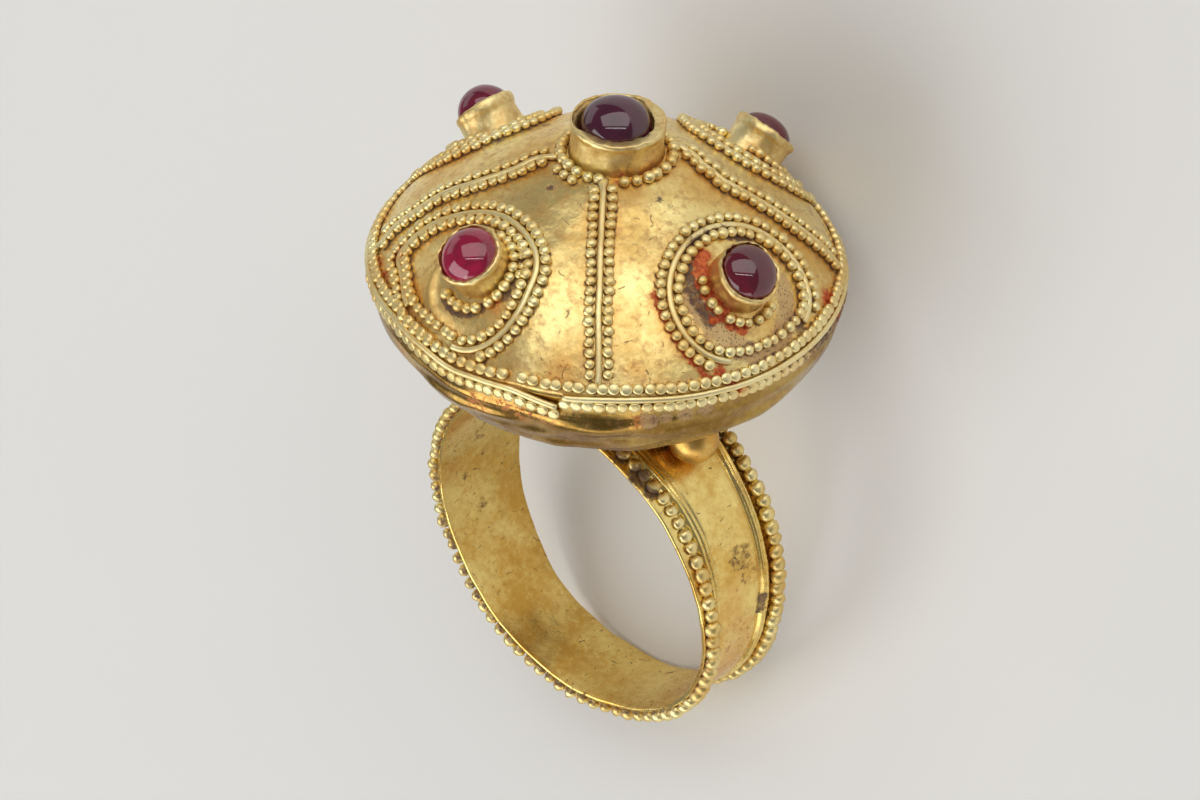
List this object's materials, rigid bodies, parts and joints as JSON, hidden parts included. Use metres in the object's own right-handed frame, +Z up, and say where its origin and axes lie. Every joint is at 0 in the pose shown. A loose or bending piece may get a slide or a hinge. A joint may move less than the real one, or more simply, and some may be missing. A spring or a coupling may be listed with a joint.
{
  "type": "dome ring",
  "caption": "Gold finger ring with a hollow lens-shaped domed bezel, granulation and wire, red cabochons in box collets and a tapering strap hoop; it lies on its side.",
  "frame": {"origin": "on the table under the middle of the ring, which lies on its side", "axes": "+Z up; -Y is the way the dome looks, seen from above; the finger passes along the finger_bore mount's axis"},
  "size_m": [0.025, 0.0348, 0.0235],
  "materials": {
    "gold": "old pale yellow gold, satin with burnished high spots, brown and orange residue in the corners",
    "garnet_dark": "glossy polished cabochon, deep purple red",
    "garnet_red": "glossy polished cabochon, wine red",
    "garnet_bright": "glossy polished cabochon, bright magenta red"
  },
  "bodies": {
    "root": {"gold_ring": "gold", "stone_mid": "garnet_dark", "stone_a": "garnet_red", "stone_b": "garnet_bright", "stone_c": "garnet_dark", "stone_d": "garnet_red"}
  },
  "joints": []
}
